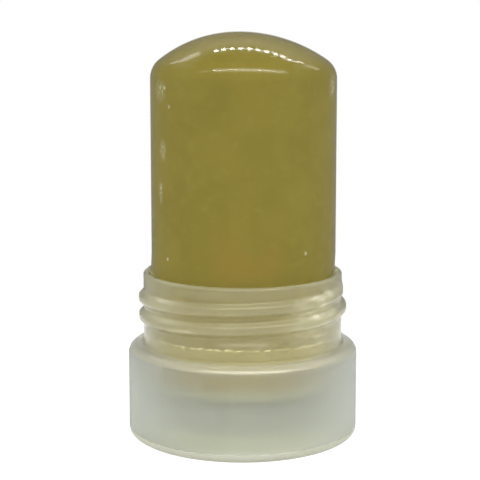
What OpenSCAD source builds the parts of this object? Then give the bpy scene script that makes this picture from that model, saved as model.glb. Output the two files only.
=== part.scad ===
// Alum deodorant stick: a domed block of potassium alum bonded into a moulded cup.
// The cup has a threaded neck for a screw cap, and its skirt is closed by a pressed-in disc.
// Millimetres. +Z is up, and the origin is the middle of the face that it stands on.

/* [Alum stick] */
// Diameter of the block's straight side
stick_d = 30; // [24:0.5:38]
// Length of the block, from its foot to the top of its dome
stick_length = 56; // [45:0.5:75]
// Rise of the dome above the straight side
dome_rise = 7.5; // [5:0.1:11]
// Radius where the dome turns down into the side
dome_edge_r = 3.8; // [1:0.1:4.5]
// Radius of the worn edge round the block's foot
stick_foot_r = 2.8; // [0.5:0.1:5]

/* [Bond] */
// Gap all round between the block and the cup
bond_gap = 0.2; // [0.1:0.05:0.5]
// Thickness of the adhesive under the block
bond_bed = 0.5; // [0.3:0.1:1.5]
// Height of the adhesive above the cup's floor
bond_height = 8.2; // [4:0.1:15]

/* [Cup and neck] */
// Height of the cup's floor above the table
cup_floor_z = 9; // [7:0.1:12]
// Thickness of the cup's floor
cup_floor_t = 1.2; // [0.8:0.1:2]
// Thickness of the neck's wall, beside the thread
neck_wall = 1; // [0.8:0.1:2]
// Height of the neck above the shoulder
neck_height = 11.8; // [10:0.1:16]
// Radius of the rim's outer edge
rim_outer_r = 0.5; // [0.1:0.05:0.6]
// Radius of the rim's inner edge
rim_inner_r = 0.3; // [0.1:0.05:0.4]
// Radius of the fillet where the neck meets the shoulder
neck_root_r = 0.5; // [0.1:0.05:0.6]

/* [Thread] */
// Rise of the single-start right-hand thread in one turn
thread_pitch = 3; // [2.8:0.05:3.6]
// Height of the thread's crest over the neck
thread_h = 0.75; // [0.4:0.05:1.1]
// Width of the thread where it meets the neck
thread_base_w = 2.7; // [2:0.05:2.75]
// Width of the flat on the thread's crest
thread_crest_w = 0.7; // [0.3:0.05:1.2]
// Length of the thread in turns, both fading ends included
thread_turns = 1.75; // [1:0.05:1.9]
// Part of a turn over which each end fades into the neck
thread_fade = 60; // [20:5:90]
// Distance of the thread's upper end below the rim
thread_from_rim = 2.6; // [2.2:0.05:3.2]
// Where the upper end is, counter-clockwise from +X seen from above
thread_end_angle = 15; // [-180:1:180]

/* [Skirt] */
// Height of the shoulder above the table
shoulder_z = 15; // [13:0.1:20]
// Width of the shoulder that the cap closes on
shoulder_w = 2.5; // [2.3:0.1:4]
// Thickness of the shoulder
shoulder_t = 1.4; // [1:0.1:2]
// Thickness of the skirt's wall
skirt_wall = 1.4; // [1:0.1:1.6]
// Radius of the shoulder's outer edge
shoulder_edge_r = 1.6; // [0.5:0.1:1.9]

/* [Base disc] */
// Thickness of the disc's flange
disc_t = 1.4; // [1.1:0.1:2]
// Radius of the flange's lower edge
disc_edge_r = 1.2; // [0.3:0.1:1.3]
// Radius of the fine edges along the seam
seam_r = 0.1; // [0.05:0.05:0.15]
// Height of the disc's spigot inside the skirt
spigot_height = 2.4; // [1.5:0.1:4]
// Thickness of the spigot's wall
spigot_wall = 1.1; // [0.8:0.1:2]
// Gap between the spigot and the skirt
spigot_gap = 0.03; // [0.02:0.01:0.1]

/* [Hidden] */
$fn = 144;

// How deep the thread's flanks dive under the neck, and its root under them
thread_sink = 0.08;
thread_root = 0.3;
// Facets of the thread across its width and along a turn
thread_cells = 10;
thread_steps = 60;

stick_r = stick_d / 2;
bore_r = stick_r + bond_gap;
neck_r = bore_r + neck_wall;
skirt_r = neck_r + shoulder_w;
skirt_bore_r = skirt_r - skirt_wall;
stick_foot_z = cup_floor_z + bond_bed;
stick_top_z = stick_foot_z + stick_length;
rim_z = shoulder_z + neck_height;
cup_under_z = cup_floor_z - cup_floor_t;
hollow_top_z = shoulder_z - shoulder_t;

// The dome is part of a sphere that runs smoothly into the rounded edge below it
dome_edge_z = stick_top_z - dome_rise;
dome_r = ((stick_r - dome_edge_r) ^ 2 + dome_rise ^ 2 - dome_edge_r ^ 2)
    / (2 * (dome_rise - dome_edge_r));
dome_z = stick_top_z - dome_r;
dome_half_angle = asin((stick_r - dome_edge_r) / (dome_r - dome_edge_r));

// What the corner at the origin, with its metal towards -x and -y, loses when it is rounded
module corner_scrap(r) {
    difference() {
        translate([-r, -r]) square(r);
        translate([-r, -r]) circle(r);
    }
}

module stick_profile() {
    // Straight side
    translate([0, stick_foot_z + stick_foot_r])
        square([stick_r, dome_edge_z - stick_foot_z - stick_foot_r]);
    // Foot with its worn edge
    translate([0, stick_foot_z]) square([stick_r - stick_foot_r, stick_foot_r]);
    translate([stick_r - stick_foot_r, stick_foot_z + stick_foot_r]) circle(stick_foot_r);
    // Rounded edge of the dome
    translate([stick_r - dome_edge_r, dome_edge_z]) circle(dome_edge_r);
    // Dome, out to where the rounded edge takes over
    intersection() {
        translate([0, dome_z]) circle(dome_r);
        polygon([
            [0, dome_z],
            [2 * dome_r * sin(dome_half_angle), dome_z + 2 * dome_r * cos(dome_half_angle)],
            [0, dome_z + 2 * dome_r * cos(dome_half_angle)]
        ]);
    }
}

module alum_stick() {
    color([0.54, 0.5, 0.21]) rotate_extrude() stick_profile();
}

// Fills the gap round the lower end of the block and the corner round its foot
module adhesive() {
    color([0.84, 0.79, 0.55]) difference() {
        translate([0, 0, cup_floor_z]) cylinder(r = bore_r, h = bond_height);
        rotate_extrude() stick_profile();
    }
}

// Section of the cup, neck, shoulder and skirt, which are one moulding
module cup_profile() {
    difference() {
        union() {
            translate([0, cup_under_z]) square([neck_r, rim_z - cup_under_z]);
            translate([0, disc_t]) square([skirt_r, shoulder_z - disc_t]);
            // Fillet where the neck stands on the shoulder
            translate([neck_r, shoulder_z]) rotate(180) corner_scrap(neck_root_r);
        }
        // Room for the block
        translate([0, cup_floor_z]) square([bore_r, rim_z]);
        // Hollow under the cup's floor
        square([neck_r, cup_under_z]);
        // Hollow between the cup and the skirt
        translate([neck_r, 0]) square([skirt_bore_r - neck_r, hollow_top_z]);
        // Rounded edges of the rim, the shoulder and the skirt's lower end
        translate([neck_r, rim_z]) corner_scrap(rim_outer_r);
        translate([bore_r, rim_z]) mirror([1, 0]) corner_scrap(rim_inner_r);
        translate([skirt_r, shoulder_z]) corner_scrap(shoulder_edge_r);
        translate([skirt_r, disc_t]) mirror([0, 1]) corner_scrap(seam_r);
    }
}

// Eases from 0 to 1
function ease(t) = t <= 0 ? 0 : t >= 1 ? 1 : t * t * (3 - 2 * t);

thread_span = 360 * thread_turns;
thread_start_angle = thread_end_angle - thread_span;
thread_end_z = rim_z - thread_from_rim;
thread_rings = ceil(thread_steps * thread_turns);
thread_flank_w = (thread_base_w - thread_crest_w) / 2;

// One section of the thread, a turned into it from its lower end, from the lower flank up
function thread_ring(a) =
    let (
        turned = thread_start_angle + a,
        z = thread_end_z - thread_pitch * (thread_span - a) / 360,
        fade = ease(a / thread_fade) * ease((thread_span - a) / thread_fade),
        root = neck_r - thread_sink,
        section = [
            [root - thread_root, -thread_base_w / 2],
            for (i = [0 : thread_cells])
                let (w = thread_base_w * (i / thread_cells - 0.5))
                [root + (thread_h + thread_sink) * fade
                    * ease((thread_base_w / 2 - abs(w)) / thread_flank_w), w],
            [root - thread_root, thread_base_w / 2]
        ]
    )
    [for (p = section) [p[0] * cos(turned), p[0] * sin(turned), z + p[1]]];

module thread() {
    size = thread_cells + 3;
    points = [for (i = [0 : thread_rings]) each thread_ring(thread_span * i / thread_rings)];
    sides = [for (i = [0 : thread_rings - 1], j = [0 : size - 1])
        let (a = i * size + j, b = i * size + (j + 1) % size, c = b + size, d = a + size)
        each [[a, b, c], [a, c, d]]];
    last = thread_rings * size;
    polyhedron(
        points,
        concat(
            [[for (j = [size - 1 : -1 : 0]) j]],
            sides,
            [[for (j = [0 : size - 1]) last + j]]
        )
    );
}

module base_cup() {
    color([0.82, 0.84, 0.79]) {
        rotate_extrude() cup_profile();
        thread();
    }
}

// Closes the skirt from below, with its flange flush with the skirt
module base_disc() {
    color([0.76, 0.79, 0.73]) {
        rotate_extrude() difference() {
            square([skirt_r, disc_t]);
            translate([skirt_r, disc_t]) corner_scrap(seam_r);
            translate([skirt_r, 0]) mirror([0, 1]) corner_scrap(disc_edge_r);
        }
        rotate_extrude() translate([skirt_bore_r - spigot_gap - spigot_wall, disc_t])
            square([spigot_wall, spigot_height]);
    }
}

alum_stick();
adhesive();
base_cup();
base_disc();
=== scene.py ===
"""A domed block of alum, bonded into a threaded polypropylene cup, and its light tent."""

import math

import bmesh
import bpy
from bpy.props import FloatProperty, FloatVectorProperty, IntProperty, PointerProperty
from mathutils import Euler, Matrix, Vector, noise


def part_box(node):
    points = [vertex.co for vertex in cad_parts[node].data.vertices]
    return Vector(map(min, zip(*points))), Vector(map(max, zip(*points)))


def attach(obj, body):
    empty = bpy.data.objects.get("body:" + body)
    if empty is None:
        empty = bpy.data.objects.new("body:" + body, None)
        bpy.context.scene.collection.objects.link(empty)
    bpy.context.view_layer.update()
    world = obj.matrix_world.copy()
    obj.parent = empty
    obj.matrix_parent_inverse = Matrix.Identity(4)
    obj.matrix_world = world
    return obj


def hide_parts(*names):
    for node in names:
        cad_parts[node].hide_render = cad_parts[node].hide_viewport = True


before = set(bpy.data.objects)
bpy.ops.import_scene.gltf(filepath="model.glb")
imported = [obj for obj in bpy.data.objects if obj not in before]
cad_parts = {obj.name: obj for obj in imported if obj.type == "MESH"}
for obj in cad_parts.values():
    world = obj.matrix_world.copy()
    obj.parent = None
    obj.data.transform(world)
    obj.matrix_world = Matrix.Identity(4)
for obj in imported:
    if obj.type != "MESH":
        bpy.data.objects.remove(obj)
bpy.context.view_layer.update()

bl_info = {
    "name": "Alum deodorant stick",
    "version": (1, 0, 0),
    "blender": (4, 5, 0),
    "location": "3D View > Sidebar > Alum stick",
    "description": "Builds the dressed deodorant stick and its light tent",
    "category": "Object",
}

MM = 0.001

# Where the two nodes meet, each visual surface keeps this far off, so that no two lie in one place
FILM = 0.02 * MM


def reach(node):
    """Radius, foot and top of a CAD node."""
    low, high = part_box(node)
    return high.x, low.z, high.z


STICK_R, STICK_FOOT, STICK_TOP = reach("alum_stick")
BOND_R, BOND_FOOT, BOND_TOP = reach("adhesive")
SKIRT_R, SKIRT_FOOT, RIM = reach("base_cup")
DISC_R, DISC_FOOT, SPIGOT_TOP = reach("base_disc")


def linear(hex_code):
    """Turns an sRGB hex value into linear red, green and blue."""
    shares = [int(hex_code[i : i + 2], 16) / 255 for i in (0, 2, 4)]
    return [s / 12.92 if s <= 0.04045 else ((s + 0.055) / 1.055) ** 2.4 for s in shares]


def length(name, description, millimetres):
    """A length, given in millimetres, that the user can change."""
    return FloatProperty(
        name=name, description=description, default=millimetres * MM,
        min=0, unit="LENGTH", subtype="DISTANCE", precision=5,
    )


def colour(name, description, hex_code):
    """A colour that the user can change."""
    return FloatVectorProperty(
        name=name, description=description, default=linear(hex_code), subtype="COLOR", min=0, max=1
    )


class BlockSettings(bpy.types.PropertyGroup):
    dome_rise: length("Dome rise", "Rise of the dome above the straight side", 7.5)
    edge_r: length("Dome edge", "Radius where the dome turns down into the side", 3.8)
    foot_r: length("Foot edge", "Radius of the worn edge round the foot", 2.8)
    wear_shift: length("Uneven wear", "How far the dome's top has moved to the left", 0.65)
    lean: length("Lean", "How far the block leans to the right at its top", 0.15)
    ripple: length("Ripple", "Height of the unevenness left by use", 0.003)
    inset: length("Inset", "How far the surface stays inside the CAD solid", 0.01)
    body_colour: colour("Body", "Colour of the cloudy alum", "8f8338")
    pale_colour: colour("Pale clouds", "Colour of the paler clouds", "94893e")
    deep_colour: colour("Deep clouds", "Colour of the darker clouds", "8a7e34")
    amber_colour: colour("Amber", "Colour of the amber core", "958038")
    # Powder colour, also used for the painted reflections at the top's edges
    powder_and_reflection_colour: colour("Powder", "Colour of dried alum powder", "cfcdab")


class BondSettings(bpy.types.PropertyGroup):
    lip_h: length("Lip", "Height of the pale upper edge", 0.25)
    wave: length("Wave", "How far the upper edge of the bond wanders", 0.3)
    sag: length("Sag", "How much lower the bond ends at the sides and back than in front", 0.55)
    # The lip colour is partly the bond's pale edge and partly a painted highlight
    lip_and_glint_colour: colour("Lip", "Colour of the bond's upper edge", "fbf8dc")
    bond_colour: colour("Bond", "Colour of the adhesive inside the neck", "a69d68")
    film_colour: colour("Film", "Colour of the block's foot through the thin adhesive", "a18a00")
    corner_colour: colour("Corner", "Colour of the adhesive in the corner of the cup", "adad99")


class MouldingSettings(bpy.types.PropertyGroup):
    wall: length("Neck wall", "Thickness of the neck's wall", 1)
    shoulder_z: length("Shoulder", "Height of the shoulder", 15)
    shoulder_t: length("Shoulder thickness", "Thickness of the shoulder", 1.4)
    shoulder_r: length("Shoulder edge", "Radius of the shoulder's outer edge", 1.6)
    skirt_wall: length("Skirt wall", "Thickness of the skirt's wall", 1.4)
    floor_t: length("Cup floor", "Thickness of the cup's floor", 1.2)
    rim_outer_r: length("Rim outside", "Radius of the rim's outer edge", 0.5)
    rim_inner_r: length("Rim inside", "Radius of the rim's inner edge", 0.3)
    root_r: length("Neck root", "Radius of the fillet where the neck meets the shoulder", 0.5)
    pitch: length("Pitch", "Rise of the thread in one turn", 3)
    thread_h: length("Thread height", "Height of the thread over the neck", 0.75)
    thread_base: length("Thread base", "Width of the thread at the neck", 2.7)
    thread_crest: length("Thread crest", "Width of the flat on the thread's crest", 0.7)
    thread_drop: length("Thread drop", "Distance of the thread's upper end below the rim", 2.6)
    turns: FloatProperty(
        name="Turns", description="Length of the thread in turns", default=1.75, min=1
    )
    fade: FloatProperty(
        name="Fade", description="Part of a turn over which each end fades",
        default=60 / 360, min=0.01,
    )
    end_turn: FloatProperty(
        name="End", description="Where the upper end is, in turns from +X", default=15 / 360
    )
    split_turn: FloatProperty(
        name="Split line", description="Where the mould's split line is, in turns from +X",
        default=228 / 360,
    )
    split_depth: length("Split depth", "Depth of the mould's split line", 0.08)
    steps: IntProperty(name="Steps", description="Facets round the moulding", default=576, min=90)
    neck_colour: colour("Neck", "Tint of the neck's polypropylene", "f5f2cf")
    # Tint of the shoulder band, warmer than the neck's to paint the warm highlight on it
    shoulder_highlight_colour: colour("Rubbed", "Tint of the polypropylene that the cap has rubbed", "f1f1dc")
    hollow_colour: colour("Hollow", "Tint of the polypropylene inside the skirt", "f1f0e2")
    skirt_colour: colour("Skirt", "Tint of the frosted polypropylene", "ecf1eb")


class DiscSettings(bpy.types.PropertyGroup):
    thickness: length("Flange", "Thickness of the disc's flange", 1.4)
    edge_r: length("Edge", "Radius of the flange's lower edge", 1.2)
    seam_r: length("Seam", "Radius of the fine edges along the seam", 0.1)
    spigot_gap: length("Spigot gap", "Gap between the spigot and the skirt", 0.03)
    spigot_wall: length("Spigot wall", "Thickness of the spigot's wall", 1.1)
    # The disc's own milky tint, warmed to paint the olive light that the block throws into the
    # skirt
    disc_and_bounce_colour: colour("Disc", "Tint of the disc's polypropylene", "bbbca8")


class StageSettings(bpy.types.PropertyGroup):
    camera_y: length("Camera distance", "How far the camera stands in front of the axis", 214.6)
    camera_z: length("Camera height", "Height of the camera above the table", 66.8)
    tilt: FloatProperty(
        name="Tilt", description="How far the camera looks down",
        default=math.radians(7.96), subtype="ANGLE",
    )
    lens: FloatProperty(
        name="Lens", description="Focal length in mm on a 36 mm sensor", default=99.92
    )
    strip_z: length("Strip height", "Height of the lamp strips above the table", 313)
    lamp_r: length("Lamp radius", "Radius of one lamp on a strip", 4.6)
    lamp_brightness: FloatProperty(
        name="Lamps", description="Brightness of a lamp, where white is 1", default=50
    )
    floor_colour: colour("Floor", "Colour of the white card on the floor", "f2f2f0")


# Sections, as lists of (distance from the axis, height)


def arc(centre, radius, start, end, steps=8):
    """Points on a circular arc, by angles in degrees from the outward direction."""
    angles = (math.radians(start + (end - start) * i / steps) for i in range(steps + 1))
    return [(centre[0] + radius * math.cos(a), centre[1] + radius * math.sin(a)) for a in angles]


def spaced(points, gap, near):
    """Adds points along straight runs, no further apart than gap, with one close to each end."""
    result = [points[0]]
    for start, end in zip(points, points[1:]):
        run = math.dist(start, end)
        if run > 3 * near:
            count = max(1, math.ceil((run - 2 * near) / gap))
            stops = [near + (run - 2 * near) * i / count for i in range(count + 1)]
            result += [
                tuple(a + (b - a) * stop / run for a, b in zip(start, end)) for stop in stops
            ]
        result.append(end)
    return result


# Node trees

def add(tree, kind, inputs=None, **settings):
    """Adds a node, sets it up, and sets or links its inputs.

    A node given as an input stands for the first output that it has in use.
    """
    node = tree.nodes.new(kind)
    for name, value in settings.items():
        setattr(node, name, value)
    for key, value in (inputs or {}).items():
        if isinstance(value, bpy.types.Node):
            value = next(s for s in value.outputs if s.enabled)
        if isinstance(value, bpy.types.NodeSocket):
            tree.links.new(value, node.inputs[key])
        else:
            node.inputs[key].default_value = value
    return node


def new_tree(name, sockets):
    """A geometry node tree that takes a section and these other inputs, and their sockets."""
    tree = bpy.data.node_groups.new(name, "GeometryNodeTree")
    tree.interface.new_socket("Geometry", in_out="OUTPUT", socket_type="NodeSocketGeometry")
    for socket, kind in {"Section": "Geometry", **sockets}.items():
        tree.interface.new_socket(socket, in_out="INPUT", socket_type="NodeSocket" + kind)
    return tree, add(tree, "NodeGroupInput").outputs


def revolved(tree, given):
    """Makes a grid with a column of the section's points for each step round the axis.

    Returns the grid and, for each of its points, the turn and the place in the section.
    """
    points = add(tree, "GeometryNodeAttributeDomainSize", {"Geometry": given["Section"]})
    rows = points.outputs["Point Count"]
    columns = add(tree, "ShaderNodeMath", {0: given["Steps"], 1: 1}, operation="ADD")
    grid = add(tree, "GeometryNodeMeshGrid", {"Vertices X": columns, "Vertices Y": rows})
    index = add(tree, "GeometryNodeInputIndex")
    row = add(tree, "ShaderNodeMath", {0: index, 1: rows}, operation="MODULO")
    ring = add(tree, "ShaderNodeMath", {0: index, 1: rows}, operation="DIVIDE")
    column = add(tree, "ShaderNodeMath", {0: ring}, operation="FLOOR")
    turn = add(tree, "ShaderNodeMath", {0: column, 1: given["Steps"]}, operation="DIVIDE")
    at = add(
        tree, "GeometryNodeSampleIndex",
        {"Geometry": given["Section"], "Index": row}, data_type="FLOAT_VECTOR", domain="POINT",
    )
    position = add(tree, "GeometryNodeInputPosition")
    tree.links.new(position.outputs[0], at.inputs["Value"])
    return grid, turn, at


def closed(tree, geometry, turn, place, finish):
    """Turns the grid's points into place, welds the seam and the poles, and sets the material."""
    angle = add(tree, "ShaderNodeMath", {0: turn, 1: math.tau}, operation="MULTIPLY")
    turned = add(
        tree, "ShaderNodeVectorRotate", {"Vector": place, "Angle": angle}, rotation_type="Z_AXIS"
    )
    moved = add(tree, "GeometryNodeSetPosition", {"Geometry": geometry, "Position": turned})
    welded = add(tree, "GeometryNodeMergeByDistance", {"Geometry": moved, "Distance": 0.001 * MM})
    smooth = add(tree, "GeometryNodeSetShadeSmooth", {"Geometry": welded})
    real = add(tree, "GeometryNodeRealizeInstances", {"Geometry": smooth})
    return add(tree, "GeometryNodeSetMaterial", {"Geometry": real, "Material": finish})


def lathe_tree():
    """Revolves a section: the block, the bond and the disc are made this way."""
    tree, given = new_tree("Lathe", {"Steps": "Int", "Finish": "Material"})
    grid, turn, at = revolved(tree, given)
    done = closed(tree, grid, turn, at, given["Finish"])
    add(tree, "NodeGroupOutput", {0: done})
    return tree


def moulding_tree():
    """Revolves the cup's section, raises the thread on the neck and sinks the mould's split line.

    Each zone of the moulding then gets its own finish.
    """
    sizes = (
        "Neck radius", "Pitch", "Height", "Base", "Crest", "Turns", "Fade", "Start height",
        "Start turn", "Split turn", "Split depth", "Shoulder", "Shoulder edge", "Roof middle",
        "Floor middle", "Skirt middle", "Neck middle",
    )
    finishes = (
        "Skirt finish", "Shoulder finish", "Neck finish", "Hollow finish", "Floor finish",
        "Bore finish",
    )
    sockets = {**dict.fromkeys(sizes, "Float"), **dict.fromkeys(finishes, "Material")}
    tree, given = new_tree("Threaded moulding", {"Steps": "Int", **sockets})
    grid, turn, at = revolved(tree, given)
    xyz = add(tree, "ShaderNodeSeparateXYZ", {0: at})
    radius, height = xyz.outputs["X"], xyz.outputs["Z"]

    # How far along the thread each point is: the whole turns below it come from its height
    past_start = add(
        tree, "ShaderNodeMath", {0: turn, 1: given["Start turn"]}, operation="SUBTRACT"
    )
    part_turn = add(tree, "ShaderNodeMath", {0: past_start}, operation="FRACT")
    over_start = add(
        tree, "ShaderNodeMath", {0: height, 1: given["Start height"]}, operation="SUBTRACT"
    )
    rise = add(tree, "ShaderNodeMath", {0: over_start, 1: given["Pitch"]}, operation="DIVIDE")
    below = add(tree, "ShaderNodeMath", {0: rise, 1: part_turn}, operation="SUBTRACT")
    whole = add(tree, "ShaderNodeMath", {0: below}, operation="ROUND")
    along = add(tree, "ShaderNodeMath", {0: whole, 1: part_turn}, operation="ADD")
    left = add(tree, "ShaderNodeMath", {0: given["Turns"], 1: along}, operation="SUBTRACT")

    # The distance from the thread's centre line gives its flanks, which ease into neck and crest
    off_turns = add(tree, "ShaderNodeMath", {0: rise, 1: along}, operation="SUBTRACT")
    off = add(tree, "ShaderNodeMath", {0: off_turns, 1: given["Pitch"]}, operation="MULTIPLY")
    aside = add(tree, "ShaderNodeMath", {0: off}, operation="ABSOLUTE")
    half_base = add(tree, "ShaderNodeMath", {0: given["Base"], 1: 2}, operation="DIVIDE")
    half_crest = add(tree, "ShaderNodeMath", {0: given["Crest"], 1: 2}, operation="DIVIDE")
    flank = add(
        tree, "ShaderNodeMapRange",
        {"Value": aside, "From Min": half_base, "From Max": half_crest},
        interpolation_type="SMOOTHSTEP",
    )
    ridge = add(tree, "ShaderNodeMath", {0: given["Height"], 1: flank}, operation="MULTIPLY")
    for turns_off in (along, left):
        fade = add(
            tree, "ShaderNodeMapRange", {"Value": turns_off, "From Max": given["Fade"]},
            interpolation_type="SMOOTHSTEP",
        )
        ridge = add(tree, "ShaderNodeMath", {0: ridge, 1: fade}, operation="MULTIPLY")
    on_neck = add(
        tree, "FunctionNodeCompare", {0: radius, 1: given["Neck radius"], "Epsilon": FILM},
        operation="EQUAL",
    )
    ridge = add(tree, "ShaderNodeMath", {0: ridge, 1: on_neck}, operation="MULTIPLY")

    # The split line is one facet wide, and runs down both sides of the shoulder and skirt
    past_split = add(
        tree, "ShaderNodeMath", {0: turn, 1: given["Split turn"]}, operation="SUBTRACT"
    )
    doubled = add(tree, "ShaderNodeMath", {0: past_split, 1: 0.5}, operation="PINGPONG")
    facet = add(tree, "ShaderNodeMath", {0: 0.5, 1: given["Steps"]}, operation="DIVIDE")
    at_split = add(tree, "ShaderNodeMath", {0: doubled, 1: facet}, operation="LESS_THAN")
    outside = add(
        tree, "ShaderNodeMath", {0: radius, 1: given["Neck radius"]}, operation="GREATER_THAN"
    )
    sunk = add(tree, "ShaderNodeMath", {0: given["Split depth"], 1: at_split}, operation="MULTIPLY")
    sunk = add(tree, "ShaderNodeMath", {0: sunk, 1: outside}, operation="MULTIPLY")

    raised = add(tree, "ShaderNodeMath", {0: radius, 1: ridge}, operation="ADD")
    raised = add(tree, "ShaderNodeMath", {0: raised, 1: sunk}, operation="SUBTRACT")
    place = add(tree, "ShaderNodeCombineXYZ", {"X": raised, "Z": height})
    part = closed(tree, grid, turn, place, given["Skirt finish"])

    # The finishes change where the mould's steel does, where the block touches, and in a band on
    # the shoulder that paints a highlight
    spot = add(tree, "ShaderNodeSeparateXYZ", {0: add(tree, "GeometryNodeInputPosition")}).outputs
    across = add(tree, "ShaderNodeCombineXYZ", {"X": spot["X"], "Y": spot["Y"]})
    away = add(tree, "ShaderNodeVectorMath", {0: across}, operation="LENGTH").outputs["Value"]
    inside, below_roof, in_neck, over_floor, shoulder, neck = (
        add(tree, "FunctionNodeCompare", {0: measure, 1: given[limit]}, operation=operation)
        for measure, limit, operation in (
            (away, "Skirt middle", "LESS_THAN"),
            (spot["Z"], "Roof middle", "LESS_THAN"),
            (away, "Neck middle", "LESS_THAN"),
            (spot["Z"], "Floor middle", "GREATER_THAN"),
            (spot["Z"], "Shoulder edge", "GREATER_THAN"),
            (spot["Z"], "Shoulder", "GREATER_THAN"),
        )
    )
    hollow = add(tree, "FunctionNodeBooleanMath", {0: inside, 1: below_roof}, operation="AND")
    bore = add(tree, "FunctionNodeBooleanMath", {0: in_neck, 1: over_floor}, operation="AND")
    under_floor = add(
        tree, "FunctionNodeBooleanMath", {0: in_neck, 1: over_floor}, operation="NIMPLY"
    )
    # A later zone takes over what it shares with an earlier one
    for zone, finish in zip((shoulder, neck, hollow, under_floor, bore), finishes[1:]):
        part = add(
            tree, "GeometryNodeSetMaterial",
            {"Geometry": part, "Selection": zone, "Material": given[finish]},
        )
    add(tree, "NodeGroupOutput", {0: part})
    return tree


def made(name, section, tree, values):
    """Runs a node tree on a section and returns the result as an object with a plain mesh."""
    outline = bpy.data.meshes.new(name + "-section")
    outline.from_pydata([(r, 0, z) for r, z in section], [], [])
    piece = bpy.data.objects.new(name, outline)
    bpy.context.scene.collection.objects.link(piece)
    modifier = piece.modifiers.new(tree.name, "NODES")
    modifier.node_group = tree
    for socket in tree.interface.items_tree:
        if socket.in_out == "INPUT" and socket.name in values:
            modifier[socket.identifier] = values[socket.name]
    graph = bpy.context.evaluated_depsgraph_get()
    mesh = bpy.data.meshes.new_from_object(
        piece.evaluated_get(graph), preserve_all_data_layers=True, depsgraph=graph
    )
    mesh.name = name
    piece.modifiers.remove(modifier)
    piece.data = mesh
    bpy.data.meshes.remove(outline)
    return piece


def fitted(piece, node):
    """Checks that a piece is a closed shell, turns its faces out and puts it in a node's place."""
    shell = bmesh.new()
    shell.from_mesh(piece.data)
    if not all(edge.is_manifold for edge in shell.edges):
        raise RuntimeError(f"{piece.name} isn't a closed shell")
    if shell.calc_volume(signed=True) < 0:
        bmesh.ops.reverse_faces(shell, faces=shell.faces)
    shell.to_mesh(piece.data)
    shell.free()
    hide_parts(node)
    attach(piece, "root")


# Materials


def new_material(name):
    """A material with its tree and its Principled node."""
    material = bpy.data.materials.new(name)
    material.use_nodes = True
    tree = material.node_tree
    return material, tree, tree.nodes["Principled BSDF"]


# Chips in the block that hold dried powder, and painted reflections: x, y, z, radius across and
# upwards (mm), and strength
# The marks high on the left and right edges paint the pale reflections of the walls there
POWDER_AND_REFLECTIONS = [
    (-12.9, -7.6, 56.4, 2.4, 2.2, 0.4),
    (-12.2, -8.7, 56.9, 0.5, 0.5, 1.2),
    (-11.5, -9.7, 54.0, 0.45, 0.45, 1),
    (-12.5, -8.2, 47.1, 1.3, 2.2, 0.4),
    (-12.9, -7.6, 40.6, 0.9, 2.6, 0.4),
    (13.9, -5.5, 57.0, 1.8, 2.8, 0.4),
    (9.65, -11.5, 31.5, 0.4, 0.45, 1.2),
    (-11.8, -9.2, 30.2, 0.5, 0.5, 1),
]

# Milky smears on the neck, in the same form, most of them painted highlights of the lights on the
# threads. The last is a milky haze round the rim
SMEARS_AND_HIGHLIGHTS = [
    (11.6, -11.3, 24.3, 3.4, 0.8, 0.6),
    (12.1, -10.8, 23.2, 1.6, 0.8, 0.7),
    (13.3, -9.3, 24.6, 2.2, 1.2, 0.5),
    (11.2, -11.7, 21.4, 1.4, 0.9, 0.7),
    (9.4, -13.2, 23.6, 3.4, 1.2, 0.3),
    (11.3, -11.6, 20.8, 7.5, 6.5, 0.36),
    (-12.1, -10.8, 23.8, 3.4, 0.6, 0.4),
    (-8.9, -13.5, 19.7, 3.6, 0.5, 0.4),
    (-12.5, -10.3, 23, 6, 5, 0.15),
    (0.5, -16.2, 18, 6, 0.9, 0.2),
    (0, 0, 26.4, 60, 2.6, 0.12),
]


# Share of a spot's reach inside which it has its full strength
SPOT_CORE = 0.2


def spot(tree, place, middle, reaches, strength=1):
    """How strongly a soft spot shows at a place, by its middle and how far it reaches, in mm."""
    size = tuple(1 / (reach * MM) for reach in reaches)
    scaled = add(tree, "ShaderNodeVectorMath", {0: place, 1: size}, operation="MULTIPLY")
    centre = tuple(at / reach for at, reach in zip(middle, reaches))
    away = add(tree, "ShaderNodeVectorMath", {0: scaled, 1: centre}, operation="DISTANCE")
    return add(
        tree, "ShaderNodeMapRange",
        {
            "Value": away.outputs["Value"],
            "From Min": 1, "From Max": SPOT_CORE, "To Max": strength,
        },
        interpolation_type="SMOOTHSTEP",
    )


def marks(tree, place, spots, crumb, flatness, least):
    """Where these spots lie on a surface, from 0 to 1, broken up into crumbs.

    Crumb is the crumbs' width and flatness how many times less high they are. Least is the share
    of a spot that shows between them.
    """
    found = 0
    for x, y, z, across, tall, strength in spots:
        here = spot(tree, place, (x, y, z), (across, across, tall), strength)
        found = add(tree, "ShaderNodeMath", {0: found, 1: here}, operation="MAXIMUM")
    flat = add(tree, "ShaderNodeVectorMath", {0: place, 1: (1, 1, flatness)}, operation="MULTIPLY")
    crumbs = add(tree, "ShaderNodeTexNoise", {"Vector": flat, "Scale": 1 / crumb, "Detail": 3})
    thick = add(
        tree, "ShaderNodeMapRange",
        {"Value": crumbs, "From Min": 0.38, "From Max": 0.62, "To Min": least},
        interpolation_type="SMOOTHSTEP",
    )
    return add(tree, "ShaderNodeMath", {0: found, 1: thick}, operation="MULTIPLY", use_clamp=True)


# The amber cloud's middle, and how far it reaches to each side and up and down, in mm
CLOUD = (0, -12, 31)
CLOUD_REACH = (9, 9, 7)


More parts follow.
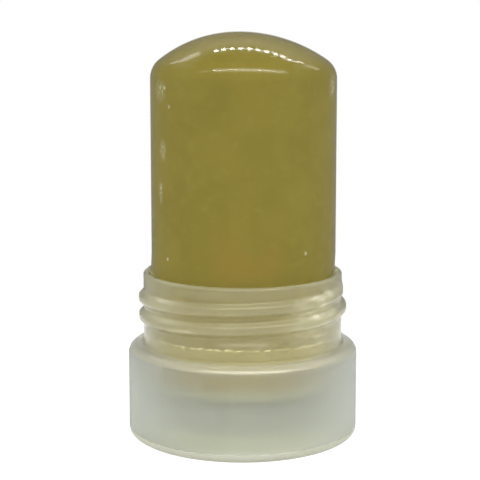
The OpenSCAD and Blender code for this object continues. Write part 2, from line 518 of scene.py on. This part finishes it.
def cast_alum(look):
    """Potassium alum, cast and worn smooth by wet skin: a glassy face over cloudy olive depth."""
    material, tree, shader = new_material("cast-alum")
    place = add(tree, "ShaderNodeTexCoord").outputs["Object"]

    # The melt set unevenly: clouds about 8 mm across, and finer wisps of about 2 mm inside them
    clouds = add(
        tree, "ShaderNodeTexNoise",
        {"Vector": place, "Scale": 1 / (8 * MM), "Detail": 4, "Roughness": 0.55, "Distortion": 0.4},
    )
    deep = add(
        tree, "ShaderNodeMapRange", {"Value": clouds, "From Min": 0.36, "From Max": 0.64},
        interpolation_type="SMOOTHSTEP",
    )
    tint = add(
        tree, "ShaderNodeMix", {0: deep, 6: (*look.deep_colour, 1), 7: (*look.body_colour, 1)},
        data_type="RGBA",
    )
    wisps = add(
        tree, "ShaderNodeTexNoise",
        {"Vector": place, "Scale": 1 / (2.2 * MM), "Detail": 3, "Roughness": 0.6},
    )
    pale = add(
        tree, "ShaderNodeMapRange",
        {"Value": wisps, "From Min": 0.5, "From Max": 0.75, "To Max": 0.6},
        interpolation_type="SMOOTHSTEP",
    )

    # One amber cloud hangs in the middle, just above the cup, in patches of about 7 mm
    near = spot(tree, place, CLOUD, CLOUD_REACH)
    patches = add(tree, "ShaderNodeTexNoise", {"Vector": place, "Scale": 1 / (7 * MM), "Detail": 3})
    warm = add(
        tree, "ShaderNodeMapRange", {"Value": patches, "From Min": 0.36, "From Max": 0.56},
        interpolation_type="SMOOTHSTEP",
    )
    amber = add(tree, "ShaderNodeMath", {0: near, 1: warm}, operation="MULTIPLY")

    # Dried powder sits in chips along the sides, in crumbs under a millimetre wide; the same marks
    # paint pale reflections of the walls at the top's edges
    dust_and_reflection = marks(tree, place, POWDER_AND_REFLECTIONS, crumb=0.5 * MM, flatness=1, least=0.25)
    for share, over in (
        (pale, look.pale_colour), (amber, look.amber_colour), (dust_and_reflection, look.powder_and_reflection_colour)
    ):
        tint = add(tree, "ShaderNodeMix", {0: share, 6: tint, 7: (*over, 1)}, data_type="RGBA")
    # Worn alum is glossy, and its powder is dull
    rough = add(tree, "ShaderNodeMapRange", {"Value": dust_and_reflection, "To Min": 0.1, "To Max": 0.6})
    tree.links.new(rough.outputs[0], shader.inputs["Roughness"])
    shader.inputs["IOR"].default_value = 1.456
    shader.inputs["Subsurface Weight"].default_value = 0.6
    shader.inputs["Subsurface Radius"].default_value = (1, 0.9, 0.45)
    shader.inputs["Subsurface Scale"].default_value = 2.5 * MM
    tree.links.new(tint.outputs[2], shader.inputs["Base Color"])
    return material


# Width of the texture that etched steel leaves on a moulding, and of the faint sink marks that
# show where the steel was polished
ETCHED = 0.4 * MM
POLISHED = 2.5 * MM

# How much milkier the moulding's clouds are, and its thread
CLOUD_MILK = 0.015
THREAD_MILK = 0.12


def natural_polypropylene(
    name, tint, roughness, clear, shade=1, grain=POLISHED, relief=0.02 * MM,
    coat=0, coat_roughness=0, smears_and_highlights=(), thread=(),
):
    """Unpigmented polypropylene, moulded: milky in clouds, and blurring what shows through it.

    Clear is the share of it that isn't milky, and shade how much light it lets through to what is
    behind it. Grain is the width of its surface texture and relief the texture's height. A coat is
    its skin, where that is smoother than the rest. The smears list holds milky smears on it, most
    of them painted highlights, and thread gives the radii between which the wall grows thicker.
    """
    material, tree, shader = new_material(name)
    shader.inputs["Base Color"].default_value = (*tint, 1)
    shader.inputs["Roughness"].default_value = roughness
    shader.inputs["IOR"].default_value = 1.49
    shader.inputs["Coat Weight"].default_value = coat
    shader.inputs["Coat Roughness"].default_value = coat_roughness
    place = add(tree, "ShaderNodeTexCoord").outputs["Object"]

    # The steel's texture on an etched face, or the slight sink marks on a polished one
    texture = add(tree, "ShaderNodeTexNoise", {"Vector": place, "Scale": 1 / grain, "Detail": 2})
    bump = add(tree, "ShaderNodeBump", {"Height": texture, "Distance": relief})
    tree.links.new(bump.outputs[0], shader.inputs["Normal"])

    # It is a little milkier in patches of about 5 mm, where it cooled more slowly
    clouds = add(tree, "ShaderNodeTexNoise", {"Vector": place, "Scale": 1 / (5 * MM), "Detail": 2})
    milky = add(
        tree, "ShaderNodeMapRange",
        {"Value": clouds, "From Min": 0.4, "From Max": 0.6, "To Max": CLOUD_MILK},
        interpolation_type="SMOOTHSTEP",
    )
    if smears_and_highlights:
        # Milky smears take the clearness off the surface; most of them are painted highlights
        smear_and_highlight = marks(tree, place, smears_and_highlights, crumb=2.4 * MM, flatness=4, least=0.35)
        # A thread is thicker than the wall that it stands on, so it is milkier too
        across = add(tree, "ShaderNodeVectorMath", {0: place, 1: (1, 1, 0)}, operation="MULTIPLY")
        away = add(tree, "ShaderNodeVectorMath", {0: across}, operation="LENGTH").outputs["Value"]
        thick = add(
            tree, "ShaderNodeMapRange",
            {"Value": away, "From Min": thread[0], "From Max": thread[1], "To Max": THREAD_MILK},
        )
        for more in (smear_and_highlight, thick):
            milky = add(
                tree, "ShaderNodeMath", {0: milky, 1: more}, operation="ADD", use_clamp=True
            )
    bare = add(tree, "ShaderNodeMath", {0: 1, 1: milky}, operation="SUBTRACT")
    kept = add(tree, "ShaderNodeMath", {0: bare, 1: clear}, operation="MULTIPLY")
    tree.links.new(kept.outputs[0], shader.inputs["Transmission Weight"])

    # Light reaches what lies behind a wall straight through it, where refraction would block it
    passed = add(tree, "ShaderNodeBsdfTransparent", {"Color": (shade, shade, shade, 1)})
    lamp_ray = add(tree, "ShaderNodeLightPath").outputs["Is Shadow Ray"]
    mixed = add(tree, "ShaderNodeMixShader", {0: lamp_ray, 1: shader.outputs[0], 2: passed})
    tree.links.new(mixed.outputs[0], tree.nodes["Material Output"].inputs["Surface"])
    return material


# Heights over the cup's floor between which the adhesive turns from its corner's colour to its
# film's, and from its film's to the neck's
FILM_HEIGHTS = (1 * MM, 2 * MM)
NECK_HEIGHTS = (4.5 * MM, 6.5 * MM)


def set_adhesive(look):
    """Hot-melt adhesive, run in hot and set: waxy, pale in the corner, and pale along the lip,
    where broken beads also paint the lamps' highlight.

    Where it is thin, the block's olive shows through it.
    """
    material, tree, shader = new_material("set-adhesive")
    lip = add(tree, "ShaderNodeAttribute", attribute_name="lip").outputs["Fac"]
    lip = add(tree, "ShaderNodeClamp", {0: lip})
    place = add(tree, "ShaderNodeTexCoord").outputs["Object"]
    height = add(tree, "ShaderNodeSeparateXYZ", {0: place}).outputs["Z"]
    tint = (*look.corner_colour, 1)
    for (low, high), next_colour in (
        (FILM_HEIGHTS, look.film_colour), (NECK_HEIGHTS, look.bond_colour)
    ):
        above = add(
            tree, "ShaderNodeMapRange",
            {"Value": height, "From Min": BOND_FOOT + low, "From Max": BOND_FOOT + high},
            interpolation_type="SMOOTHSTEP",
        )
        tint = add(
            tree, "ShaderNodeMix", {0: above, 6: tint, 7: (*next_colour, 1)}, data_type="RGBA"
        )
    tint = add(
        tree, "ShaderNodeMix", {0: lip, 6: tint, 7: (*look.lip_and_glint_colour, 1)}, data_type="RGBA"
    )
    tree.links.new(tint.outputs[2], shader.inputs["Base Color"])
    shader.inputs["Roughness"].default_value = 0.25
    shader.inputs["IOR"].default_value = 1.48
    return material


# Pieces

# Facets round the block, and round the bond and the disc
BLOCK_STEPS = 288
RING_STEPS = 360

# The foot stays upright in its bore, and the block's lean comes in over this height above the rim
LEAN_IN = 3 * MM

# Width of the unevenness that use leaves, and how far from the axis it fades out
RIPPLE_WIDTH = 20 * MM
RIPPLE_FADE = 4 * MM

# How finely the bond's upper edge wanders, in two sizes, and how finely the pale beads along it
# break up; the beads are partly a painted highlight
WANDERS = (9, 23)
BEADS_AND_GLINTS = 17

# Share of the shoulder's rounded edge, from above, that the painted highlight band covers
HIGHLIGHT_BAND_SHARE = 0.55


class AddBlock(bpy.types.Operator):
    """Make the block of alum"""

    bl_idname = "alum_stick.add_block"
    bl_label = "Alum block"

    def execute(self, context):
        look = context.scene.alum_block
        side = STICK_R - look.inset
        top = STICK_TOP - look.inset
        edge_z = STICK_TOP - look.dome_rise
        edge_at = side - look.edge_r
        rise = top - edge_z
        # The dome is part of a sphere that runs smoothly into the rounded edge
        dome_r = (edge_at**2 + rise**2 - look.edge_r**2) / (2 * (rise - look.edge_r))
        join = 90 - math.degrees(math.asin(edge_at / (dome_r - look.edge_r)))
        foot = STICK_FOOT + look.inset
        section = [
            *arc((0, top - dome_r), dome_r, 90, join, 40),
            *arc((edge_at, edge_z), look.edge_r, join, 0, 20)[1:],
            *arc((side - look.foot_r, foot + look.foot_r), look.foot_r, 0, -90, 8),
            (0, foot),
        ]
        section = spaced(section, gap=0.8 * MM, near=0.3 * MM)
        values = {"Steps": BLOCK_STEPS, "Finish": cast_alum(look)}
        block = made("alum_block", section, lathe_tree(), values)
        for vertex in block.data.vertices:
            at = vertex.co
            free = min(1.0, max(0.0, (at.z - RIM) / LEAN_IN))
            # Skin wears the dome down unevenly: its top lies a little to the left
            worn = max(0.0, (at.z - edge_z) / rise)
            at.x += look.lean * free - look.wear_shift * worn * worn
            # Use leaves the surface faintly uneven
            outward = Vector((at.x, at.y, 0))
            if outward.length > 0.1 * MM and free:
                ripple = noise.noise(at / RIPPLE_WIDTH) * look.ripple * free
                at += outward.normalized() * ripple * min(1, outward.length / RIPPLE_FADE)
        fitted(block, "alum_stick")
        return {"FINISHED"}


class AddBond(bpy.types.Operator):
    """Make the adhesive round the block's foot"""

    bl_idname = "alum_stick.add_bond"
    bl_label = "Bond"

    def execute(self, context):
        look = context.scene.alum_bond
        foot_r = context.scene.alum_block.foot_r
        inner = STICK_R + FILM
        outer = BOND_R - FILM
        lip_r = (outer - inner) / 2
        foot_centre = (STICK_R - foot_r, STICK_FOOT + foot_r)
        section = [
            (0, BOND_FOOT + FILM),
            (outer, BOND_FOOT + FILM),
            (outer, BOND_TOP - look.lip_h - lip_r),
            *arc((inner + lip_r, BOND_TOP - lip_r), lip_r, 0, 180, 6),
            (inner, BOND_TOP - look.lip_h - lip_r),
            *arc(foot_centre, foot_r + FILM, 0, -90, 8),
            (0, STICK_FOOT - FILM),
        ]
        section = spaced(section, gap=0.8 * MM, near=0.03 * MM)
        values = {"Steps": RING_STEPS, "Finish": set_adhesive(look)}
        bond = made("bond", section, lathe_tree(), values)
        lip = bond.data.attributes.new("lip", "FLOAT", "POINT")
        for vertex in bond.data.vertices:
            at = vertex.co
            heading = Vector((at.x, at.y, 0)).normalized()
            # Pale beads stand along the upper edge: partly the bond's own colour, partly a painted
            # highlight of the lamps
            bead_and_glint = 0.4 + 2.4 * noise.noise(heading * BEADS_AND_GLINTS)
            lip.data[vertex.index].value = bead_and_glint if at.z > BOND_TOP - look.lip_h else 0
            # The upper edge wanders, and ends highest in front
            share = max(0.0, (at.z - STICK_FOOT) / (BOND_TOP - STICK_FOOT)) ** 4
            wander = sum(noise.noise(heading * fineness) for fineness in WANDERS) * 0.5 - 0.5
            at.z += share * (look.wave * wander - look.sag * (1 + heading.y) / 2)
        fitted(bond, "adhesive")
        return {"FINISHED"}


class AddMoulding(bpy.types.Operator):
    """Make the cup with its threaded neck, shoulder and skirt"""

    bl_idname = "alum_stick.add_moulding"
    bl_label = "Threaded cup"

    def execute(self, context):
        look = context.scene.alum_moulding
        seam_r = context.scene.alum_disc.seam_r
        bore = BOND_R
        neck = bore + look.wall
        skirt_bore = SKIRT_R - look.skirt_wall
        shoulder = look.shoulder_z
        foot = SKIRT_FOOT + FILM
        floor_top = BOND_FOOT
        floor_under = floor_top - look.floor_t
        neck_side = spaced(
            [(neck, RIM - look.rim_outer_r), (neck, shoulder + look.root_r)],
            gap=0.17 * MM, near=0.1 * MM,
        )
        # The shell goes from the cup's floor up the bore, over the rim and down the outside
        rim = [
            *arc((bore + look.rim_inner_r, RIM - look.rim_inner_r), look.rim_inner_r, 180, 90, 5),
            *arc((neck - look.rim_outer_r, RIM - look.rim_outer_r), look.rim_outer_r, 90, 0, 7),
        ]
        shoulder_edge = [
            *arc((neck + look.root_r, shoulder + look.root_r), look.root_r, 180, 270, 6),
            *arc(
                (SKIRT_R - look.shoulder_r, shoulder - look.shoulder_r), look.shoulder_r, 90, 0, 14
            ),
        ]
        skirt_foot = [
            *arc((SKIRT_R - seam_r, foot + seam_r), seam_r, 0, -90, 4),
            (skirt_bore, foot),
            (skirt_bore, shoulder - look.shoulder_t),
            (neck, shoulder - look.shoulder_t),
            (neck, floor_under),
            (0, floor_under),
        ]
        section = [
            *spaced([(0, floor_top), (bore, floor_top), *rim], gap=2 * MM, near=0.15 * MM),
            *neck_side[1:-1],
            *spaced([*shoulder_edge, *skirt_foot], gap=1.5 * MM, near=0.15 * MM),
        ]
        values = {
            "Steps": look.steps,
            "Neck radius": neck,
            "Pitch": look.pitch,
            "Height": look.thread_h,
            "Base": look.thread_base,
            "Crest": look.thread_crest,
            "Turns": look.turns,
            "Fade": look.fade,
            "Start height": RIM - look.thread_drop - look.pitch * look.turns,
            "Start turn": look.end_turn - look.turns,
            "Split turn": look.split_turn,
            "Split depth": look.split_depth,
            "Shoulder": shoulder + FILM,
            "Shoulder edge": shoulder - look.shoulder_r * HIGHLIGHT_BAND_SHARE,
            "Roof middle": shoulder - look.shoulder_t / 2,
            "Floor middle": floor_top - look.floor_t / 2,
            "Skirt middle": SKIRT_R - look.skirt_wall / 2,
            "Neck middle": neck - look.wall / 2,
            # Moulded against etched steel: a dull, even frost
            "Skirt finish": natural_polypropylene(
                "frosted-polypropylene", look.skirt_colour,
                roughness=0.62, clear=0.89, grain=ETCHED, relief=0.01 * MM,
            ),
            # The same frost under a glossy coat, milkier and warmer here to paint the front strip's
            # highlight
            "Shoulder finish": natural_polypropylene(
                "shoulder-highlight-polypropylene", look.shoulder_highlight_colour,
                roughness=0.4, clear=0.71, shade=0.95, grain=ETCHED, relief=0.006 * MM,
                coat=1, coat_roughness=0.22,
            ),
            # Moulded against polished steel: clear, with sink marks, a thin shine, and milky smears
            # that are mostly painted highlights
            "Neck finish": natural_polypropylene(
                "satin-polypropylene", look.neck_colour,
                roughness=0.36, clear=0.91, shade=0.98, relief=0.03 * MM,
                coat=0.5, coat_roughness=0.14,
                smears_and_highlights=SMEARS_AND_HIGHLIGHTS, thread=(neck, neck + look.thread_h),
            ),
            # The core's side of the skirt, which the light reaches only through other walls
            "Hollow finish": natural_polypropylene(
                "matt-polypropylene", look.hollow_colour, roughness=0.45, clear=1
            ),
            # The cup's floor, seen edge on and so the milkiest
            "Floor finish": natural_polypropylene(
                "thick-polypropylene", look.hollow_colour, roughness=0.45, clear=0.4
            ),
            # The bore, wetted by the adhesive and so quite clear
            "Bore finish": natural_polypropylene(
                "polished-polypropylene", look.neck_colour, roughness=0.4, clear=1, shade=0.98
            ),
        }
        moulding = made("base_moulding", section, moulding_tree(), values)
        fitted(moulding, "base_cup")
        return {"FINISHED"}


class AddDisc(bpy.types.Operator):
    """Make the disc that closes the skirt"""

    bl_idname = "alum_stick.add_disc"
    bl_label = "Bottom disc"

    def execute(self, context):
        look = context.scene.alum_disc
        skirt_bore = SKIRT_R - context.scene.alum_moulding.skirt_wall
        top = look.thickness - FILM
        spigot = skirt_bore - look.spigot_gap
        section = [
            (0, DISC_FOOT),
            *arc((DISC_R - look.edge_r, DISC_FOOT + look.edge_r), look.edge_r, -90, 0, 10),
            *arc((DISC_R - look.seam_r, top - look.seam_r), look.seam_r, 0, 90, 4),
            (spigot, top),
            (spigot, SPIGOT_TOP),
            (spigot - look.spigot_wall, SPIGOT_TOP),
            (spigot - look.spigot_wall, top),
            (0, top),
        ]
        section = spaced(section, gap=2 * MM, near=0.1 * MM)
        # Moulded against etched steel, and milkier than the cup; its tint is warmed to paint the
        # block's olive light
        finish = natural_polypropylene(
            "disc-polypropylene", look.disc_and_bounce_colour,
            roughness=0.42, clear=0.3, shade=0.9, grain=ETCHED, relief=0.01 * MM,
        )
        values = {"Steps": RING_STEPS, "Finish": finish}
        disc = made("bottom_disc", section, lathe_tree(), values)
        fitted(disc, "base_disc")
        return {"FINISHED"}


# Stage

# Half the floor's side. Seen straight, mirrored or refracted, a share of it glows, to stay white
FLOOR_HALF = 90 * MM
FLOOR_GLOW = 1.25
GLOW_SHARE = 0.72

# Brightness of the tent's walls by elevation in degrees, where white is 1, behind the camera and
# behind the object. A colour ramp holds them as shares of the brightest it can hold
FRONT_LEVELS = [(50, 0.3), (62, 0.15)]
BACK_LEVELS = [(0, 0.3), (14, 0.25), (32, 0.38), (46, 0.75), (60, 0.12)]
BRIGHTEST = 2

# How far the white backdrop reaches to each side in degrees, where it starts to fade and where it
# has gone, for what mirrors it and for what it shows through
BACKDROP = {"Is Glossy Ray": (6, 14), "Is Transmission Ray": (8, 24)}

# Strips of small lamps, in mm: how far behind the object, the first lamp and the spacing along X,
# the count, and how much larger and brighter the lamps are than the settings say
LAMP_STRIPS = {"back": (158, -63, 20.1, 13, 1, 1), "front": (-185, -170, 32.5, 14, 1.2, 1.7)}
LAMP_COLOUR = (1, 0.98, 0.93)

# Soft boxes by their turn round the object in degrees, and their brightness
SOFT_BOXES = {"middle": (0, 1.6), "left": (-60, 3), "right": (60, 3)}
SOFT_BOX_SIDE = 300 * MM
SOFT_BOX_AWAY = 450 * MM
SOFT_BOX_RISE = 30
SOFT_BOX_TARGET = Vector((0, 0, 30)) * MM

# Glowing panels, in mm: both ends, the width, and the brightness. The cover lies along the front
# strip, with a panel past each end of it, and the last two stand beside the back strip
PANELS = {
    "cover": ((-190, -185, 313), (272, -185, 313), 115, 1.8),
    "front-left": ((-315, -185, 313), (-235, -185, 313), 70, 1.3),
    "front-right": ((290, -185, 313), (350, -185, 313), 70, 1.3),
    "left": ((-98, 172, 290), (-192, 166, 228), 34, 1.7),
    "right": ((196, 92, 271), (251, 117, 188), 40, 1.7),
}
PANEL_COLOUR = (1, 0.97, 0.86)

# How far the photograph's frame lies off the lens's axis, as shares of its width
FRAME_SHIFT = (-0.0055, -0.0644)


class AddStage(bpy.types.Operator):
    """Set up the light tent, its floor and the camera"""

    bl_idname = "alum_stick.add_stage"
    bl_label = "Stage"

    def execute(self, context):
        scene = context.scene
        look = scene.alum_stage
        scene.view_settings.view_transform = "Standard"
        self.add_floor(scene, look)
        self.add_walls(scene)
        self.add_lamps(scene, look)
        self.add_soft_boxes(scene)
        self.add_panels(scene)
        self.add_camera(scene, look)
        return {"FINISHED"}

    def add_floor(self, scene, look):
        """White card. What looks at it sees white, darker only where the object shades it."""
        material, tree, shader = new_material("white-card")
        shader.inputs["Base Color"].default_value = (*look.floor_colour, 1)
        shader.inputs["Roughness"].default_value = 0.9
        path = add(tree, "ShaderNodeLightPath").outputs
        seen = path["Is Camera Ray"]
        for ray in ("Is Glossy Ray", "Is Transmission Ray"):
            seen = add(tree, "ShaderNodeMath", {0: seen, 1: path[ray]}, operation="MAXIMUM")
        lifted = add(tree, "ShaderNodeMath", {0: seen, 1: GLOW_SHARE}, operation="MULTIPLY")
        white = add(tree, "ShaderNodeEmission", {"Strength": FLOOR_GLOW})
        mixed = add(tree, "ShaderNodeMixShader", {0: lifted, 1: shader.outputs[0], 2: white})
        tree.links.new(mixed.outputs[0], tree.nodes["Material Output"].inputs["Surface"])
        mesh = bpy.data.meshes.new("floor")
        corners = ((-1, -1), (1, -1), (1, 1), (-1, 1))
        mesh.from_pydata([(x * FLOOR_HALF, y * FLOOR_HALF, 0) for x, y in corners], [], [range(4)])
        mesh.materials.append(material)
        floor = bpy.data.objects.new("floor", mesh)
        scene.collection.objects.link(floor)

    def add_walls(self, scene):
        """A tent with a white backdrop, brightest under the lamp strip behind the object."""
        world = bpy.data.worlds.new("light-tent")
        scene.world = world
        world.use_nodes = True
        tree = world.node_tree
        heading = add(tree, "ShaderNodeSeparateXYZ", {0: add(tree, "ShaderNodeTexCoord")}).outputs
        levels = []
        for stops in (FRONT_LEVELS, BACK_LEVELS):
            ramp = add(tree, "ShaderNodeValToRGB", {0: heading["Z"]})
            elements = ramp.color_ramp.elements
            while len(elements) < len(stops):
                elements.new(1)
            for element, (elevation, level) in zip(elements, stops):
                element.position = math.sin(math.radians(elevation))
                element.color = (level / BRIGHTEST,) * 3 + (1,)
            levels.append(ramp)
        behind = add(
            tree, "ShaderNodeMapRange", {"Value": heading["Y"], "From Min": -0.3, "From Max": 0.3},
            interpolation_type="SMOOTHSTEP",
        )
        walls = add(
            tree, "ShaderNodeMix", {0: behind, 6: levels[0], 7: levels[1]}, data_type="RGBA"
        )
        # The tent is a little brighter on the right, where a window is
        window = add(
            tree, "ShaderNodeMapRange",
            {"Value": heading["X"], "From Min": -1, "To Min": 0.9, "To Max": 1},
        )
        walls = add(
            tree, "ShaderNodeMix", {0: 1, 6: walls, 7: window},
            data_type="RGBA", blend_type="MULTIPLY",
        )
        # The camera sees the backdrop everywhere, glass and gloss only where it stands
        path = add(tree, "ShaderNodeLightPath").outputs
        shown = path["Is Camera Ray"]
        for ray, reaches in BACKDROP.items():
            inner, outer = (math.cos(math.radians(reach)) for reach in reaches)
            card = add(
                tree, "ShaderNodeMapRange",
                {"Value": heading["Y"], "From Min": outer, "From Max": inner},
                interpolation_type="SMOOTHSTEP",
            )
            seen = add(tree, "ShaderNodeMath", {0: path[ray], 1: card}, operation="MULTIPLY")
            shown = add(tree, "ShaderNodeMath", {0: shown, 1: seen}, operation="MAXIMUM")
        light = add(
            tree, "ShaderNodeMix",
            {0: shown, 6: walls, 7: (1 / BRIGHTEST,) * 3 + (1,)}, data_type="RGBA",
        )
        background = tree.nodes["Background"]
        tree.links.new(light.outputs[2], background.inputs["Color"])
        background.inputs["Strength"].default_value = BRIGHTEST

    def add_lamps(self, scene, look):
        """Strips of small lamps along the tops of the walls, which light nothing but gloss."""
        for row, (y, first, pitch, count, larger, brighter) in LAMP_STRIPS.items():
            radius = look.lamp_r * larger
            # A point lamp of radius r is as bright as white at 4 pi^2 r^2 watts
            power = look.lamp_brightness * brighter * 4 * (math.pi * radius) ** 2
            for i in range(count):
                lamp = bpy.data.lights.new(f"lamp-{row}-{i + 1}", "POINT")
                lamp.energy = power
                lamp.shadow_soft_size = radius
                lamp.color = LAMP_COLOUR
                holder = bpy.data.objects.new(lamp.name, lamp)
                holder.location = ((first + i * pitch) * MM, y * MM, look.strip_z)
                holder.visible_diffuse = False
                scene.collection.objects.link(holder)

    def add_soft_boxes(self, scene):
        """Lights from in front and from both sides, which mirror nowhere."""
        for name, (turn, level) in SOFT_BOXES.items():
            box = bpy.data.lights.new("soft-box-" + name, "AREA")
            box.size = SOFT_BOX_SIDE
            # An area lamp is as bright as white at 4 watts a square metre
            box.energy = 4 * box.size**2 * level
            holder = bpy.data.objects.new(box.name, box)
            aim = Euler((math.radians(90 - SOFT_BOX_RISE), 0, math.radians(turn))).to_matrix()
            holder.location = SOFT_BOX_TARGET + aim @ Vector((0, 0, SOFT_BOX_AWAY))
            holder.rotation_euler = aim.to_euler()
            holder.visible_glossy = False
            holder.visible_transmission = False
            scene.collection.objects.link(holder)

    def add_panels(self, scene):
        """Panels of the tent that glow, turned to the object, which light nothing but gloss."""
        for name, (start, end, width, level) in PANELS.items():
            start, end = Vector(start) * MM, Vector(end) * MM
            panel = bpy.data.lights.new("panel-" + name, "AREA")
            panel.shape = "RECTANGLE"
            panel.size = (end - start).length
            panel.size_y = width * MM
            panel.energy = 4 * panel.size * panel.size_y * level
            panel.color = PANEL_COLOUR
            holder = bpy.data.objects.new(panel.name, panel)
            along = (end - start).normalized()
            facing = (start + end).normalized()
            upright = facing.cross(along)
            turned = Matrix((along, upright, facing)).transposed()
            holder.matrix_world = Matrix.Translation((start + end) / 2) @ turned.to_4x4()
            holder.visible_diffuse = False
            scene.collection.objects.link(holder)

    def add_camera(self, scene, look):
        """The photograph's camera."""
        lens = bpy.data.cameras.new("camera")
        lens.sensor_width = 36
        lens.lens = look.lens
        lens.shift_x, lens.shift_y = FRAME_SHIFT
        lens.clip_start = 10 * MM
        camera = bpy.data.objects.new("camera", lens)
        camera.location = (0, -look.camera_y, look.camera_z)
        camera.rotation_euler = Euler((math.pi / 2 - look.tilt, 0, 0))
        scene.collection.objects.link(camera)
        scene.camera = camera


class StickPanel(bpy.types.Panel):
    """Lists the pieces and the stage"""

    bl_idname = "VIEW3D_PT_alum_stick"
    bl_label = "Alum deodorant stick"
    bl_space_type = "VIEW_3D"
    bl_region_type = "UI"
    bl_category = "Alum stick"

    def draw(self, context):
        for name, (_, operator) in PIECES.items():
            box = self.layout.box()
            settings = getattr(context.scene, name)
            for prop in settings.bl_rna.properties:
                if prop.identifier not in ("rna_type", "name"):
                    box.prop(settings, prop.identifier)
            box.operator(operator.bl_idname)


# Each group of settings by its name in the scene, and the operator that uses it
PIECES = {
    "alum_block": (BlockSettings, AddBlock),
    "alum_bond": (BondSettings, AddBond),
    "alum_moulding": (MouldingSettings, AddMoulding),
    "alum_disc": (DiscSettings, AddDisc),
    "alum_stage": (StageSettings, AddStage),
}


def register():
    for name, (settings, operator) in PIECES.items():
        bpy.utils.register_class(settings)
        bpy.utils.register_class(operator)
        setattr(bpy.types.Scene, name, PointerProperty(type=settings))
    bpy.utils.register_class(StickPanel)


def unregister():
    bpy.utils.unregister_class(StickPanel)
    for name, (settings, operator) in reversed(PIECES.items()):
        delattr(bpy.types.Scene, name)
        bpy.utils.unregister_class(operator)
        bpy.utils.unregister_class(settings)


def main():
    register()
    bpy.ops.alum_stick.add_block()
    bpy.ops.alum_stick.add_bond()
    bpy.ops.alum_stick.add_moulding()
    bpy.ops.alum_stick.add_disc()
    bpy.ops.alum_stick.add_stage()


if __name__ == "__main__":
    main()
